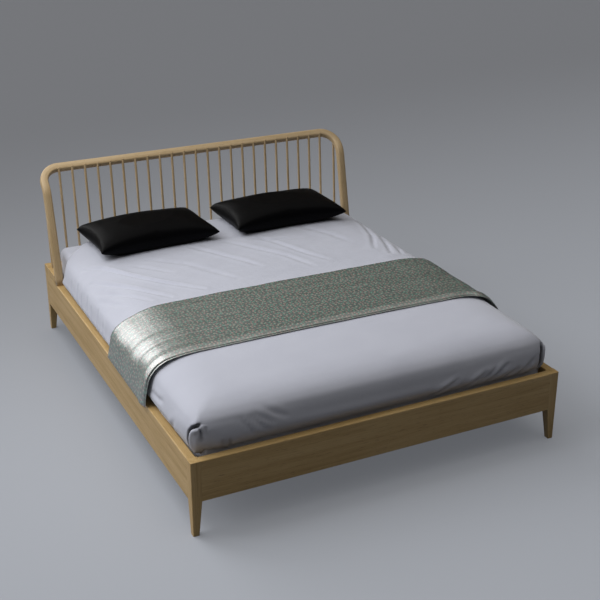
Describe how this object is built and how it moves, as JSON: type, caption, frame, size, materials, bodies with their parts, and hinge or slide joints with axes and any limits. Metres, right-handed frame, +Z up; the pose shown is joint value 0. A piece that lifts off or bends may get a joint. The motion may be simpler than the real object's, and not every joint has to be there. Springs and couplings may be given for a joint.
{
  "type": "double bed",
  "caption": "Light oak double bed with a bent hoop headboard over thin upright spindles, made up with a white duvet, a folded runner and dark pillows",
  "frame": {"origin": "On the floor, under the middle of the bed's overall box", "axes": "+Z up, +Y towards the headboard, +X to the right for someone who looks from the foot to the head"},
  "size_m": [1.72, 2.15, 0.9151],
  "materials": {
    "oak": "matt oiled light oak",
    "beech": "plain sanded beech",
    "steel": "zinc plated",
    "sheet": "smooth woven cotton",
    "runner_cloth": "soft speckled weave with a slight sheen",
    "satin": "black satin"
  },
  "bodies": {
    "root": {"foot_rail": "oak", "back_rail": "oak", "side_rail_left": "oak", "side_rail_right": "oak", "post_foot_left": "oak", "post_foot_right": "oak", "post_head_left": "oak", "post_head_right": "oak", "headboard_board": "oak", "headboard_return_left": "oak", "headboard_return_right": "oak", "headboard_hoop": "oak", "spindle_01": "oak", "spindle_02": "oak", "spindle_03": "oak", "spindle_04": "oak", "spindle_05": "oak", "spindle_06": "oak", "spindle_07": "oak", "spindle_08": "oak", "spindle_09": "oak", "spindle_10": "oak", "spindle_11": "oak", "spindle_12": "oak", "spindle_13": "oak", "spindle_14": "oak", "spindle_15": "oak", "spindle_16": "oak", "spindle_17": "oak", "spindle_18": "oak", "spindle_19": "oak", "spindle_20": "oak", "spindle_21": "oak", "spindle_22": "oak", "spindle_23": "oak", "spindle_24": "oak", "spindle_25": "oak", "slat_ledge_left": "beech", "slat_ledge_right": "beech", "centre_beam": "beech", "centre_leg_foot": "beech", "centre_leg_head": "beech", "slats": "beech", "corner_block_foot_left": "beech", "corner_block_foot_right": "beech", "corner_block_head_left": "beech", "corner_block_head_right": "beech", "dowels": "beech", "beam_hanger_foot": "steel", "beam_hanger_head": "steel", "corner_bolts": "steel", "wood_screws": "steel", "mattress": "sheet", "duvet": "sheet", "runner": "runner_cloth", "pillow_left": "satin", "pillow_right": "satin"}
  },
  "joints": []
}
